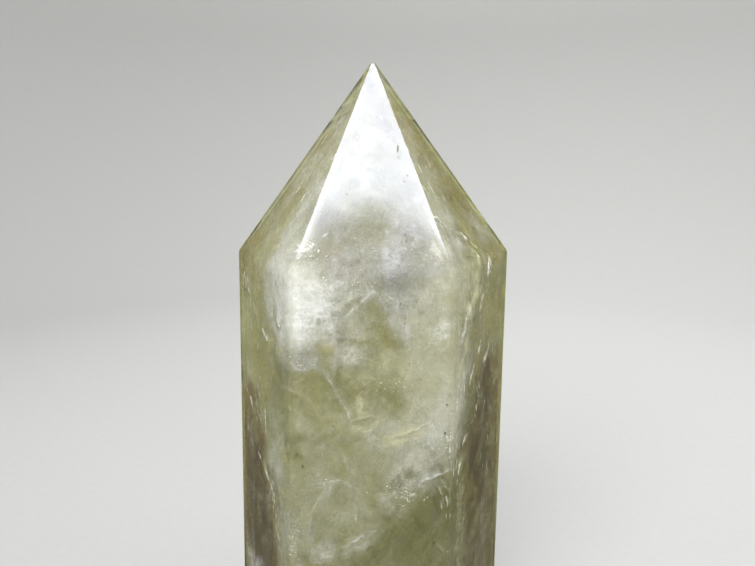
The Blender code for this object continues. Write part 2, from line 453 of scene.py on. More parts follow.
LEFT_PATCHES = (
    ("mist", 0.62, 2.6, 0.4, 84, ((9.0, 91.5), (16, 92), (16, 77), (12.2, 77.5), (10, 80), (8, 85))),
    ("mist", 0.60, 1.8, 0.8, 84, ((3.4, 90.5), (9, 92), (10, 84), (11.5, 78), (8.4, 80), (5.6, 84), (4, 87))),
    ("pale", 0.60, 1.4, 1.0, 20, ((1.2, 76.6), (8, 76), (15, 77.5), (15, 73.2), (8, 73.8), (2.5, 75.2))),
    ("umber", 0.60, 3.0, 1.4, 80, ((-14, 90.5), (-7, 90.5), (-6, 86), (-9, 82), (-14, 83))),
    ("honey", 0.35, 5.0, 1.0, 86, ((-11, 88), (1, 90), (4, 79), (8, 70), (0, 62), (-12, 66))),
    # The next three lines' broad umber and brown over the lower face are partly iron stain and partly painted
    # shade, the darkness of dim surroundings seen through the face.
    ("umber", 0.80, 5.5, 1.3, 80, ((-16, 64.5), (-4.5, 64), (0, 54), (3.5, 47), (8, 37), (11, 30),
                                   (11, 5), (-16, 5))),
    ("brown", 0.60, 3.5, 1.2, 82, ((-10, 54), (-2.8, 54.5), (-1, 48), (3, 38), (5, 25), (5, 5), (-10, 5))),
    ("honey", 0.32, 3.0, 2.2, 78, ((-1.5, 53), (2, 52), (5.5, 47), (7.5, 44), (9, 39), (13, 32),
                                   (8.5, 32), (5, 38.5), (2, 45))),
    ("moss", 0.50, 1.5, 1.5, 80, ((2.5, 51), (7.5, 51), (8, 46), (5, 46.5))),
    ("honey", 0.45, 2.8, 1.4, 80, ((7, 58), (15, 60), (15, 20), (12.5, 30), (9, 42))),
)
RIGHT_PATCHES = (
    ("pale", 0.75, 2.6, 0.8, 95, ((-15, 92), (-3, 91.5), (0.7, 87.5), (-0.5, 83), (-4.5, 79),
                                  (-5.5, 73), (-7, 68), (-9, 58), (-15, 55))),
    ("cream", 0.62, 1.2, 1.2, 95, ((-3, 92.5), (-1.2, 92), (1.2, 87.6), (0.2, 84.3), (-3.8, 81.8),
                                   (-4.4, 78.4), (-6.0, 74), (-7.8, 71.5), (-8.8, 71.5),
                                   (-7, 74.4), (-5.8, 78.6), (-5.8, 82.4), (-1.2, 87))),
    ("honey", 0.60, 3.0, 1.0, 92, ((1.5, 91), (10, 91), (13, 76), (2, 71), (-1, 80))),
    ("honey", 0.55, 3.0, 1.0, 92, ((-4, 79), (4, 78), (3, 66), (-6, 64))),
    ("umber", 0.40, 2.5, 1.2, 90, ((9, 87), (13, 88), (13, 77), (10.5, 79))),
    ("honey", 0.60, 2.0, 0.8, 90, ((5, 83), (9, 82), (8, 73), (5, 73))),
    # The next two patches' broad umber and brown over the lower face are partly iron stain and partly painted
    # shade, the darkness of dim surroundings seen through the face.
    ("umber", 0.75, 5.5, 1.3, 93, ((-8, 57), (-2, 62), (2, 72), (12, 71), (15, 60), (15, 5), (-9, 5))),
    ("brown", 0.45, 3.0, 1.4, 93, ((1, 66), (6, 70), (8, 60), (7, 48), (3, 40), (-2, 50))),
    ("moss", 0.50, 1.2, 0.8, 92, ((5.8, 55.5), (7.2, 55.5), (7.8, 48), (6.4, 47))),
    ("pale", 0.35, 1.5, 2.0, 93, ((-9, 56), (-5, 56), (-4, 30), (-9, 25))),
)
TIP_PATCHES = (
    ("smoke", 0.50, 2.5, 1.0, None, ((-8, 98), (10, 98), (13, 90), (2.5, 87), (-9, 90))),
    ("mist", 0.15, 3.5, 1.8, None, ((-4, 98), (9, 98), (15, 89), (2.5, 87), (-11, 88), (-8, 94))),
    ("lilac", 0.35, 2.0, 1.2, None, ((2.5, 97), (8, 97), (12, 90), (3, 88))),
    ("umber", 0.35, 1.6, 0.8, None, ((-7, 94.5), (-5, 94.5), (-4, 92), (-7, 91.5))),
    ("mist", 0.70, 0.9, 1.6, None, ((-10.5, 94), (-8.5, 93.5), (-8.5, 91.5), (-10.5, 92))),
    ("mist", 0.60, 0.9, 1.6, None, ((9, 93), (10.5, 93), (12.5, 91), (12, 90))),
)
LEFT_TIP_PATCHES = (
    ("honey", 0.30, 4.0, 1.4, 75, ((-14, 88), (14, 88), (14, 120), (-6, 120))),
    ("umber", 0.30, 3.0, 1.4, 70, ((-12, 88), (-5, 90), (2, 104), (4, 114), (-2, 114))),
    ("lilac", 0.22, 3.5, 1.4, 70, ((5, 88), (14, 88), (10, 100), (2, 116), (-1, 114))),
)
RIGHT_TIP_PATCHES = (
    ("olive", 0.46, 4.0, 1.4, 105, ((-14, 88), (14, 88), (6, 120), (-14, 120))),
    ("umber", 0.40, 3.0, 1.4, 110, ((12, 88), (5, 90), (-2, 104), (-4, 114), (2, 114))),
    ("lilac", 0.16, 3.5, 1.2, 110, ((-14, 88), (-7, 88), (0, 112), (-3, 116))),
)


def chance_patches(count, low, high, seed):
    """Patches where no other is named: outlines of eight points round a chance middle, at
    uneven distances and longer up the stone than across it, in chance tones."""
    random = np.random.default_rng(seed)
    around = np.linspace(0, 2 * math.pi, 8, endpoint=False)
    patches = []
    tones = ("mist", "mist", "mist", "lilac", "pale", "honey", "olive", "moss", "umber")
    for tone in random.choice(tones, count):
        middle = random.uniform((-13, low), (13, high))
        reach = random.uniform(2.5, 8) * random.uniform(0.5, 1.2, 8)[:, None]
        outline = middle + reach * np.stack([np.cos(around), 1.5 * np.sin(around)], axis=-1)
        patches.append((tone, random.uniform(0.25, 0.7), random.uniform(1.2, 3.5), random.uniform(0.6, 1.8),
                        random.uniform(20, 160), tuple(map(tuple, outline))))
    return tuple(patches)


LIGHTER = {"brown": "umber", "umber": "honey", "moss": "olive", "olive": "honey"}
FAR_COVER, FAR_RIM, FAR_RAGGEDNESS = 0.85, 1.4, 0.6  # a patch turned over, as shares of the near one


def turned_over(patches, rise):
    """Patches as they show from the far side of the stone: left and right change places,
    the whole lies higher by rise, and the brown is thinner and its edges softer."""
    return tuple((LIGHTER.get(tone, tone), FAR_COVER * cover, FAR_RIM * rim, FAR_RAGGEDNESS * raggedness,
                  None if heading is None else 180 - heading,
                  tuple((-across, height + rise) for across, height in outline))
                 for tone, cover, rim, raggedness, heading, outline in patches)


def room(points, heading):
    """How far it is from each point, along a heading, to the first face less MARGIN."""
    facing = heading @ FACES[:, :3].T
    gap = FACES[:, 3] - MARGIN - points @ FACES[:, :3].T
    return np.where(facing > 1e-6, gap / np.maximum(facing, 1e-6), np.inf).min(axis=-1)[..., None]


CALM_BORDER = 4 * MM  # a sheet's swells die away over this width at its left and right borders


def veil_sheet(face, depth, widest, step, sag, seed):
    """A sheet that lies depth under a face and fills the stone from side to side: a level
    line at the height where the sheet is widest, with a column up and down from each of its
    points. It swells towards and away from the face by up to sag, less near its border."""
    facing = face[:3]
    across = np.cross((0, 0, 1), facing) / np.linalg.norm(facing[:2])
    upward = np.cross(facing, across)
    level = facing[:2] / np.linalg.norm(facing[:2])
    out = (face[3] - depth - widest * facing[2]) / np.linalg.norm(facing[:2])
    middle = np.array((*(level * out), widest))
    left, right = room(middle, -across), room(middle, across)
    line = middle + np.linspace(-left, right, int((left + right).item() / step)) * across
    low, high = room(line, -upward), room(line, upward)
    share = np.linspace(0, 1, int((low + high).max() / step))[:, None, None]
    flat = line + (share * (low + high) - low) * upward
    calm = [np.clip(room(flat, way) / CALM_BORDER, 0, 1) for way in (-across, across)]
    return flat + sag * (calm[0] * calm[1]) * swell(flat, 9 * MM, seed)[..., None] * facing


def inside(flat, outline, rim):
    """How far inside an outline each point is: a smooth step from 0 to 1, rim wide, of its
    distance to the nearest of the outline's sides."""
    start = np.array(outline, dtype=float)
    side = np.roll(start, -1, axis=0) - start
    to_point = flat[:, None] - start
    along = np.clip((to_point * side).sum(axis=-1) / (side ** 2).sum(axis=-1), 0, 1)
    gap = np.linalg.norm(to_point - along[..., None] * side, axis=-1).min(axis=1)
    height = flat[:, None, 1]
    crossed = (start[:, 1] > height) != (start[:, 1] + side[:, 1] > height)
    rise = np.where(side[:, 1] == 0, 1.0, side[:, 1])
    right = flat[:, None, 0] < start[:, 0] + side[:, 0] * (height - start[:, 1]) / rise
    within = (crossed & right).sum(axis=1) % 2 == 1
    share = np.clip(0.5 + np.where(within, gap, -gap) / rim, 0, 1)
    return share * share * (3 - 2 * share)


def streaks(flat, heading, seed):
    """Uneven fine streaks, about -1 to 1: swells seven times longer along the heading, in
    degrees from level, than across it."""
    turn = math.radians(heading)
    along = flat @ np.array((math.cos(turn), math.sin(turn)))
    across = flat @ np.array((-math.sin(turn), math.cos(turn)))
    bent = across + 0.8 * swell(flat, 12, seed + 2)
    drawn = np.stack([along / 7, bent], axis=-1)
    return 0.6 * swell(drawn, 2.4, seed, 40) + 0.5 * swell(drawn, 1.0, seed + 1, 40)


def ragged(points, seed):
    """Uneven from large to small: swells of 8 mm and of each half of that, a little weaker
    each time."""
    return sum(0.75 ** k * swell(points, 8 / 2 ** k, seed + k, 30) for k in range(5))


BREAKING, STREAKINESS = 0.5, 0.55  # how strongly raggedness and streaks change a cover
MOST_COVER = 0.98
STRAYS = ((0.9, 9), (0.45, 3.5), (0.2, 1.3))  # how far outlines stray, and over what length, in mm


def laid(flat, patches, cover, tone, seed):
    """Lays patches one over another on a first cover and tone. Each patch's outline strays
    by swells, and its cover is ragged and streaked. A patch with no tone clears."""
    strayed = flat + sum(
        reach * np.stack([swell(flat, length, seed + k), swell(flat, length, seed + 9 + k)], axis=-1)
        for k, (reach, length) in enumerate(STRAYS))
    rough = ragged(flat, seed + 20)
    for number, (colour, amount, rim, raggedness, heading, outline) in enumerate(patches):
        edge = inside(strayed, outline, rim)
        near = edge > 0
        broken = 1 + BREAKING * raggedness * rough[near]
        if heading is not None:
            broken = broken + STREAKINESS * streaks(flat[near], heading, seed + 30 + 3 * number)
        share = np.zeros(len(flat))
        share[near] = np.clip(amount * edge[near] * np.clip(broken, 0.05, None), 0, MOST_COVER)
        if colour is None:
            cover = cover * (1 - share)
            continue
        below = cover * (1 - share)
        cover = share + below
        tone = (share[:, None] * TONES[colour] + below[:, None] * tone) / np.maximum(cover, 1e-6)[:, None]
    return cover, tone


# Patches lean back into the stone, as if cast from a point in front of it.
CAST_FROM = np.array((2.0, -168.0, 107.0)) * MM


def cast(points, face):
    """Where lines from CAST_FROM to each point pass the face."""
    line = points - CAST_FROM
    share = (face[3] - CAST_FROM @ face[:3]) / (line @ face[:3])
    return CAST_FROM + share[:, None] * line


SIDE_LEVEL, TIP_LEVEL = 50 * MM, 91.5 * MM  # where the sheets under a side or a tip face are widest

FOOT_PATCHES = chance_patches(14, 3, 27, 7)  # where nothing is known of the stone's veils
BACK_PATCHES = chance_patches(9, 6, 70, 8)
HIGH_PATCHES = chance_patches(7, 82, 112, 9)

BEHIND = turned_over(FRONT_PATCHES, -9) + HIGH_PATCHES
BEHIND_RIGHT_TIP = turned_over(RIGHT_TIP_PATCHES, 2) + HIGH_PATCHES
BEHIND_LEFT_TIP = turned_over(LEFT_TIP_PATCHES, -3) + HIGH_PATCHES

VEIL_SAG = 0.12  # how far a veil swells out of its plane, as a share of its depth
SHALLOW = 2  # veils less deep than this, in mm, are the gritty ones
SHALLOW_FADE, DEEP_FADE = 1.0 * MM, 1.5 * MM  # the milk thins out over these widths at borders
# How far behind the front face a left or right veil begins to show, and over what further
# distance it comes in whole, in depths of the veil.
SHALLOW_CORNER, DEEP_CORNER = (0.9, 1.6), (1.4, 1.5)

VEILS = (  # name, face, depth and grid step in mm, share of the patches' cover, patches
    ("front_veil_1", FRONT, 1.5, 0.28, 0.45, FRONT_PATCHES + FOOT_PATCHES),
    ("front_veil_2", FRONT, 3.4, 0.32, 0.30, FRONT_PATCHES + FOOT_PATCHES),
    ("front_veil_3", FRONT, 6.0, 0.40, 0.25, FRONT_PATCHES),
    ("left_veil_1", LEFT, 1.4, 0.32, 0.80, LEFT_PATCHES + FOOT_PATCHES),
    ("left_veil_2", LEFT, 3.8, 0.45, 0.60, LEFT_PATCHES),
    ("right_veil_1", RIGHT, 1.4, 0.32, 0.80, RIGHT_PATCHES + FOOT_PATCHES),
    ("right_veil_2", RIGHT, 3.8, 0.45, 0.60, RIGHT_PATCHES),
    ("tip_veil_1", FRONT_TIP, 1.8, 0.28, 0.40, TIP_PATCHES),
    ("tip_veil_2", FRONT_TIP, 4.2, 0.35, 0.60, TIP_PATCHES),
    ("left_tip_veil_1", LEFT_TIP, 1.6, 0.32, 0.50, LEFT_TIP_PATCHES),
    ("left_tip_veil_2", LEFT_TIP, 4.2, 0.45, 0.50, LEFT_TIP_PATCHES),
    ("right_tip_veil_1", RIGHT_TIP, 1.6, 0.32, 0.50, RIGHT_TIP_PATCHES),
    ("right_tip_veil_2", RIGHT_TIP, 4.2, 0.45, 0.50, RIGHT_TIP_PATCHES),
    ("back_veil_1", BACK, 1.6, 0.40, 0.65, BEHIND + FOOT_PATCHES),
    ("back_veil_2", BACK, 4.4, 0.45, 0.50, BEHIND),
    ("right_back_veil", RIGHT_BACK, 1.7, 0.45, 0.80, turned_over(RIGHT_PATCHES, -5) + BACK_PATCHES),
    ("left_back_veil", LEFT_BACK, 1.7, 0.45, 0.80, turned_over(LEFT_PATCHES, 3) + BACK_PATCHES),
    ("back_tip_veil", BACK_TIP, 2.2, 0.45, 0.80, turned_over(TIP_PATCHES, 6) + HIGH_PATCHES),
    ("right_back_tip_veil", RIGHT_BACK_TIP, 1.8, 0.45, 0.80, BEHIND_RIGHT_TIP),
    ("left_back_tip_veil", LEFT_BACK_TIP, 1.8, 0.45, 0.80, BEHIND_LEFT_TIP),
)

near_veil = bubble_veil("stained bubble veil", 0.6, 0.75)
inner_veil = bubble_veil("inner stained bubble veil", 0.4, 0.3)
for number, (name, face, depth, step, part, patches) in enumerate(VEILS):
    seed = 300 + 60 * number
    level = SIDE_LEVEL if abs(face[2]) < UPRIGHT else TIP_LEVEL
    points = veil_sheet(face, depth * MM, level, step * MM, VEIL_SAG * depth * MM, seed)
    sheet = surface(name, points, wrapped=False)
    spots = vertices(sheet)
    rightwards = np.cross((0, 0, 1), face[:3])
    shown = cast(spots, face) if name.startswith("front") else spots
    flat = np.stack([shown @ rightwards / np.linalg.norm(rightwards), shown[:, 2]], axis=-1) / MM
    tone = np.broadcast_to(TONES["mist"], spots.shape)
    cover, tone = laid(flat, patches, np.zeros(len(flat)), tone, seed)
    cover = 1 - (1 - cover) ** part
    loose = 1 - np.exp(-(HAZE + WHITENESS * cloudiness(spots)))
    whole = cover + loose * (1 - cover)
    tone = (cover[:, None] * tone + ((whole - cover)[:, None] * TONES["mist"])) / whole[:, None]
    fade = border_fade(spots, SHALLOW_FADE if depth < SHALLOW else DEEP_FADE)
    if name.startswith(("left", "right")):
        behind = FRONT[3] - spots @ FRONT[:3]
        start, width = SHALLOW_CORNER if depth < SHALLOW else DEEP_CORNER
        fade = fade * np.clip((behind - start * depth * MM) / (width * depth * MM), 0, 1)
    mark(sheet, "milk", fade * whole)
    mark(sheet, "tone", tone)
    sheet.data.materials.append(near_veil if depth < SHALLOW else inner_veil)
    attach(sheet, "root")

# ----------------------------------------
# The edges of cracks: where a crack that never healed ends under the front face, its edge
# is a thin pale line, straight or curved like the rim of a shell.

CRACK_EDGES = (  # tone, cover, width and depth in mm, then the line across the face and up it
    ("mist", 0.45, 1.2, 1.2, ((-7.5, 73.5), (-6, 71.5), (-4.5, 68.5), (-3, 66), (-2.5, 64))),
    ("mist", 0.40, 0.9, 1.2, ((-1.5, 54), (-2.4, 56), (-3.6, 58.5), (-4.5, 61.5))),
    ("mist", 0.30, 0.7, 1.2, ((-3, 55), (-3.4, 57.5), (-4.2, 59.5))),
    ("mist", 0.45, 1.0, 1.0, ((-0.5, 51.5), (-2.5, 53), (-4.5, 54), (-7.5, 53.5), (-11, 53))),
    ("mist", 0.30, 0.8, 1.0, ((-5, 53), (-8, 52.6), (-12, 52))),
    ("mist", 0.55, 1.0, 1.0, ((-1.4, 45.8), (-1.6, 47), (-1.8, 49), (-2.4, 50.6))),
    ("mist", 0.60, 1.6, 1.0, ((6.4, 50.4), (8, 51), (9.5, 53.6), (12.3, 54.8), (15.6, 56.8))),
    ("pale", 0.80, 1.2, 1.0, ((-2.8, 64.2), (-1, 65), (1.4, 65.4), (3.6, 65.3))),
    ("pale", 0.85, 1.6, 1.1, ((1.8, 64.4), (-0.4, 63.9), (-1.4, 63.0), (-2.4, 64.1))),
    ("pale", 0.75, 1.3, 1.0, ((-0.4, 61.0), (3.2, 61.6), (6.4, 62.3), (9.2, 63.6), (10.4, 64.6))),
    ("pale", 0.35, 1.6, 1.4, ((8.2, 69), (7.9, 67.2), (6.6, 65.4), (4, 63.8))),
    ("pale", 0.65, 1.6, 1.2, ((1.2, 66.2), (-0.6, 66.2), (-0.6, 67.6), (-0.9, 69.4))),
    ("mist", 0.55, 2.2, 1.0, ((1.6, 86.9), (-0.4, 85.2), (-2.4, 83.4), (-3.8, 81.8))),
    ("lilac", 0.55, 1.8, 1.0, ((5.2, 78.5), (4.4, 81.2), (3.2, 84.2), (1.7, 86.9))),
    ("pale", 0.35, 0.8, 1.0, ((12.3, 54.4), (13.3, 53), (14.2, 51))),
    ("pale", 0.35, 0.8, 1.0, ((11.4, 54), (12.6, 52), (13.2, 49.6))),
    ("mist", 0.80, 0.5, 0.9, ((13.6, 51.6), (13.7, 50.4), (13.8, 48.8))),
    ("mist", 0.50, 0.5, 0.9, ((12.6, 50.4), (12.8, 49.4), (13.1, 48.4))),
    ("smoke", 0.60, 0.5, 1.0, ((2.6, 90.9), (2.4, 89.6), (2.6, 88.2), (2.1, 86.6))),
    ("pale", 0.35, 0.7, 1.0, ((11.4, 42.6), (12.6, 41.4), (13.6, 40))),
    ("mist", 0.25, 1.4, 1.2, ((-7, 43), (-5.4, 44.6), (-4, 46))),
    ("mist", 0.55, 1.4, 1.0, ((-4.6, 40.7), (-2, 42.4), (0.2, 43.7), (2.4, 44.8))),
    ("mist", 0.45, 0.6, 1.0, ((-7.2, 94.4), (-6.6, 95), (-5.6, 95.4))),
    ("mist", 0.45, 0.9, 1.0, ((-5.4, 83), (-6.6, 82.6), (-8.6, 83), (-10.6, 82.6))),
    ("mist", 0.45, 0.9, 1.0, ((-7.6, 84.6), (-10.2, 84), (-12.6, 84.2))),
    ("mist", 0.35, 1.2, 1.0, ((-9.5, 73.4), (-11.5, 74), (-13.5, 76.2))),
    ("pale", 0.35, 0.9, 1.2, ((-15, 70.6), (-12, 69.8), (-9.4, 68), (-7.4, 65.4))),
    ("pale", 0.30, 0.9, 1.3, ((-14.6, 67.4), (-12, 66.4), (-9, 64))),
)
EDGE_ROWS = 64
TIP_START = 92  # a line that begins above this height lies under the front of the tip
RIM_PROFILE = np.array((0.0, 1.0, 0.45, 0.25, 0.12, 0.04, 0.0))  # sharp on one side, fading on the other
EDGE_STRAY = 0.12  # how far a line strays from a smooth one, in mm


def smooth_path(corners, count):
    """A smooth line through points: between two of them, the cubic that has the slope from
    the one before to the one after at each end."""
    known = np.array(corners, dtype=float)
    known = np.concatenate([2 * known[:1] - known[1:2], known, 2 * known[-1:] - known[-2:-1]])
    place = np.linspace(0, len(known) - 3 - 1e-6, count)
    first = place.astype(int)
    t = (place - first)[:, None]
    before, here, there, after = (known[first + k] for k in range(4))
    return here + t * ((there - before) / 2 + t * (before - 2.5 * here + 2 * there - after / 2
                                                   + t * (1.5 * (here - there) + (after - before) / 2)))


def under(face, flat, depth):
    """Points under a face, from their place across it and their height, and their depth."""
    level = np.linalg.norm(face[:2])
    rightwards = np.cross((0, 0, 1), face[:3]) / level
    outwards = np.array((face[0], face[1], 0.0)) / level
    out = (face[3] - depth - flat[..., 1] * face[2]) / level
    upright = flat[..., 1:2] * np.array((0.0, 0.0, 1.0))
    return flat[..., :1] * rightwards + upright + out[..., None] * outwards


def ribbon(path, width, seed):
    """A band along a flat line: rows along it and a few points across it, narrowing to
    nothing at both ends and unevenly wide between them."""
    heading = np.gradient(path, axis=0)
    side = np.stack([-heading[:, 1], heading[:, 0]], axis=-1) / np.linalg.norm(heading, axis=1)[:, None]
    share = np.linspace(0, 1, len(path))
    wide = width * np.sin(math.pi * (0.03 + 0.94 * share)) ** 0.7 * (1 + 0.4 * swell(path, 1.5, seed))
    over = np.linspace(-0.15, 1.0, len(RIM_PROFILE))[None, :, None]
    return path[:, None] + over * (wide[:, None] * side)[:, None]


bands, covers, tones = [], [], []
for number, (colour, cover, width, depth, line) in enumerate(CRACK_EDGES):
    path = smooth_path(line, EDGE_ROWS)
    stray = [swell(path, 1.7, 800 + number), swell(path, 1.7, 900 + number)]
    path = path + EDGE_STRAY * np.stack(stray, axis=-1)
    band = ribbon(path, width, 700 + number)
    bands.append(under(FRONT_TIP if line[0][1] > TIP_START else FRONT, band * MM, depth * MM))
    bell = RIM_PROFILE * np.sin(math.pi * np.linspace(0.02, 0.98, EDGE_ROWS))[:, None]
    covers.append(cover * bell * (0.9 + 0.6 * ragged(band, 600 + number)).clip(0, 1.6))
    tones.append(np.broadcast_to(TONES[colour], bands[-1].shape))
edges = surface("crack_edges", np.array(bands), wrapped=False)
mark(edges, "milk", np.clip(np.array(covers), 0, 1).ravel())
mark(edges, "tone", np.array(tones).reshape(-1, 3))
edges.data.materials.append(near_veil)
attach(edges, "root")

# ----------------------------------------
# Glints: tiny air-filled cracks that mirror the light. On the side faces they are drawn out
# along the stone, and in the tip they sit in clusters.

HALF_THICKNESS = 0.02  # of every flake, in mm
FLAKE_CLEARANCE = 0.2 * MM  # no flake comes nearer to a face than this
HALF_LENGTH, HALF_WIDTH = 0.6, 0.75  # a sliver's half axes, as shares of its length and width
FLAKE_WIDTH = 0.6  # a clustered flake's width, as a share of its length
SLIVER_DEPTHS, CLUSTER_DEPTHS = (0.75, 1.3), (0.75, 1.5)  # under their faces, in mm


def flakes(name, places, sizes, turns):
    """Many small closed flakes: each a ring of six uneven points round its place and a point
    on either side. sizes are half its length, width and thickness. turns are its three axes."""
    random = np.random.default_rng(len(places))
    around = np.linspace(0, 2 * math.pi, 6, endpoint=False)
    uneven = random.uniform(0.6, 1.15, (len(places), 6))
    ring = np.stack([np.cos(around) * uneven, np.sin(around) * uneven, 0 * uneven], axis=-1)
    pole = np.broadcast_to((0.0, 0.0, 1.0), ring.shape)
    shape = np.stack([-pole, ring, pole], axis=1) * sizes[:, None, None, :]
    return surface(name, places[:, None, None, :] + np.einsum("nrcx,nxd->nrcd", shape, turns), smooth=False)


def facing_turns(face, headings, lean, seed):
    """The three axes of each flake on a face: along its heading, across it, and out of the
    face, each leaned over by a random angle of up to lean."""
    random = np.random.default_rng(seed)
    level = np.linalg.norm(face[:2])
    rightwards = np.cross((0, 0, 1), face[:3]) / level
    upwards = np.cross(face[:3], rightwards)
    out = face[:3] + lean * random.uniform(-1, 1, (len(headings), 1)) * rightwards
    out = out + lean * random.uniform(-1, 1, (len(headings), 1)) * upwards
    out /= np.linalg.norm(out, axis=1)[:, None]
    along = np.cos(headings)[:, None] * rightwards + np.sin(headings)[:, None] * upwards
    along -= (along * out).sum(axis=1)[:, None] * out
    along /= np.linalg.norm(along, axis=1)[:, None]
    return np.stack([along, np.cross(out, along), out], axis=1)


def clear_of_faces(places, sizes, turns):
    """The flakes that stay clear of every face: those whose reach towards it, summed over
    their three axes, is less than their depth under it."""
    reach = (np.abs(np.einsum("nij,fj->nfi", turns, FACES[:, :3])) * sizes[:, None]).sum(axis=-1)
    kept = (FACES[:, 3] - places @ FACES[:, :3].T - reach).min(axis=1) > FLAKE_CLEARANCE
    return places[kept], sizes[kept], turns[kept]


def crack_glint():
    """The inner face of an air-filled crack: it throws back nearly all the light, broken by
    fine ripples, so it looks silvery white."""
    material, tree, output = new_material("silvery crack")
    place = add(tree, "TexCoord").outputs["Object"]
    ripple = add(tree, "TexNoise", {"Vector": place, "Scale": 1400.0, "Detail": 3.0})
    spread = add(tree, "MapRange", {"Value": ripple.outputs[0], "From Min": 0.35, "From Max": 0.65})
    tone = add(tree, "Mix", {0: spread.outputs[0], 6: linear("#A9A88F"), 7: linear("#FFFFFF")},
               data_type="RGBA")
    silver = add(tree, "BsdfPrincipled", {"Base Color": tone.outputs[2], "Roughness": 0.3})
    tree.links.new(silver.outputs[0], output.inputs["Surface"])
    return material


SLIVER_RUNS = (  # face, count, length and width in mm, spread in mm, and the line they follow
    (RIGHT, 16, 1.8, 0.34, 0.3, ((-5.8, 82.4), (-6.3, 81), (-7.2, 79.4))),
    (RIGHT, 14, 1.6, 0.30, 0.3, ((-7.2, 79.2), (-8.0, 78), (-8.9, 77))),
    (RIGHT, 9, 1.2, 0.24, 0.3, ((3.6, 89.2), (3.8, 88.2), (4.0, 87.2))),
    (RIGHT, 10, 1.3, 0.14, 0.2, ((0.8, 83.2), (0.2, 82), (-0.4, 80.8))),
    (RIGHT, 9, 1.2, 0.20, 0.2, ((0.3, 75.2), (0, 74.2), (-0.4, 73.2))),
    (RIGHT, 12, 1.2, 0.15, 0.25, ((5.8, 75.2), (4.8, 73), (3.6, 71.6), (2.6, 70.8))),
    (RIGHT, 14, 1.2, 0.13, 0.25, ((-2.2, 71.6), (-3.4, 70.2), (-4.4, 68.8))),
    (RIGHT, 24, 1.0, 0.13, 0.3, ((0.3, 67.6), (-0.8, 63), (-2.4, 61), (-5.4, 59), (-6.4, 58.4))),
    (RIGHT, 7, 1.1, 0.26, 0.2, ((-7.2, 55.4), (-7.8, 54.6), (-8.4, 53.8))),
    (RIGHT, 26, 1.2, 0.09, 1.2, ((-9, 74), (-8, 68), (-9, 60), (-9, 52), (-9, 42))),
    (RIGHT, 24, 1.5, 0.08, 2.2, ((6, 66), (6, 56), (5, 46), (4, 36))),
    (RIGHT, 20, 1.2, 0.08, 2.0, ((-4, 90), (-2, 84), (4, 78), (6, 70))),
    (RIGHT_TIP, 24, 0.9, 0.12, 0.7, ((-11.3, 99.5), (-7.3, 97), (-2.3, 94), (1.2, 90.5))),
    (RIGHT_TIP, 24, 1.2, 0.08, 2.4, ((-7, 94), (-4, 104), (-3, 112))),
    (LEFT_TIP, 40, 1.2, 0.08, 2.6, ((6, 92), (3, 102), (1, 112))),
    (LEFT, 14, 0.9, 0.20, 0.4, ((3.4, 76.4), (1.8, 76), (0.6, 76.8))),
    (LEFT, 10, 1.0, 0.24, 0.3, ((6.4, 81.6), (7.6, 80.6), (8.2, 79.8))),
    (LEFT, 34, 1.5, 0.08, 2.2, ((-9, 88), (-7, 78), (-4, 66), (-1, 58))),
    (LEFT, 16, 1.4, 0.10, 0.8, ((-9.5, 89), (-8, 85), (-6, 83))),
    (LEFT, 30, 1.3, 0.11, 0.9, ((-2, 51.6), (2.2, 49.6), (5, 46), (6.4, 42), (9.5, 38))),
    (LEFT, 16, 1.0, 0.10, 0.5, ((-10.5, 63.5), (-8, 62), (-6, 60))),
    (BACK, 40, 1.4, 0.10, 1.5, ((-8, 80), (-3, 66), (2, 50), (6, 30))),
    (LEFT_BACK, 30, 1.4, 0.10, 1.8, ((4, 84), (1, 64), (-3, 46), (-5, 26))),
    (RIGHT_BACK, 30, 1.4, 0.10, 1.8, ((-5, 82), (-1, 60), (4, 44), (5, 24))),
)
CLUSTERS = (  # face, count, flake size in mm, spread in mm, and the place
    (FRONT_TIP, 150, 0.12, (0.9, 0.8), (-9.5, 92.8)),
    (FRONT_TIP, 90, 0.08, (1.4, 0.8), (10.6, 91.8)),
    (FRONT_TIP, 260, 0.06, (5.5, 2.2), (1.0, 92.0)),
    (FRONT, 12, 0.16, (0.15, 0.6), (-6.5, 88.4)),
    (FRONT, 14, 0.12, (0.5, 0.3), (-2.6, 88.0)),
    (FRONT, 12, 0.12, (0.4, 0.4), (3.6, 85.4)),
    (FRONT, 260, 0.06, (3.4, 2.2), (-0.5, 87.0)),
    (FRONT, 240, 0.07, (3.0, 1.6), (12.0, 60.5)),
    (FRONT, 160, 0.08, (1.8, 1.4), (7.0, 52.0)),
    (FRONT, 30, 0.10, (0.5, 0.5), (6.8, 50.9)),
    (FRONT, 14, 0.14, (0.3, 0.3), (13.9, 61.5)),
    (FRONT, 22, 0.11, (0.5, 0.4), (-13.4, 70.2)),
    (FRONT, 220, 0.07, (1.2, 5.0), (-13.0, 44.0)),
    (FRONT, 240, 0.06, (4.5, 4.5), (-7.0, 46.0)),
    (FRONT, 140, 0.07, (2.2, 0.8), (-11.0, 74.5)),
    (FRONT, 60, 0.08, (2.5, 1.0), (4.5, 70.8)),
    (FRONT, 160, 0.05, (4.0, 3.0), (-9.0, 84.0)),
    (LEFT, 100, 0.07, (1.4, 1.2), (-11.0, 86.0)),
    (LEFT, 160, 0.06, (3.0, 9.0), (9.0, 50.0)),
    (RIGHT, 160, 0.06, (2.5, 12.0), (-8.0, 70.0)),
    (LEFT_TIP, 120, 0.06, (3.0, 5.0), (6.0, 96.0)),
)

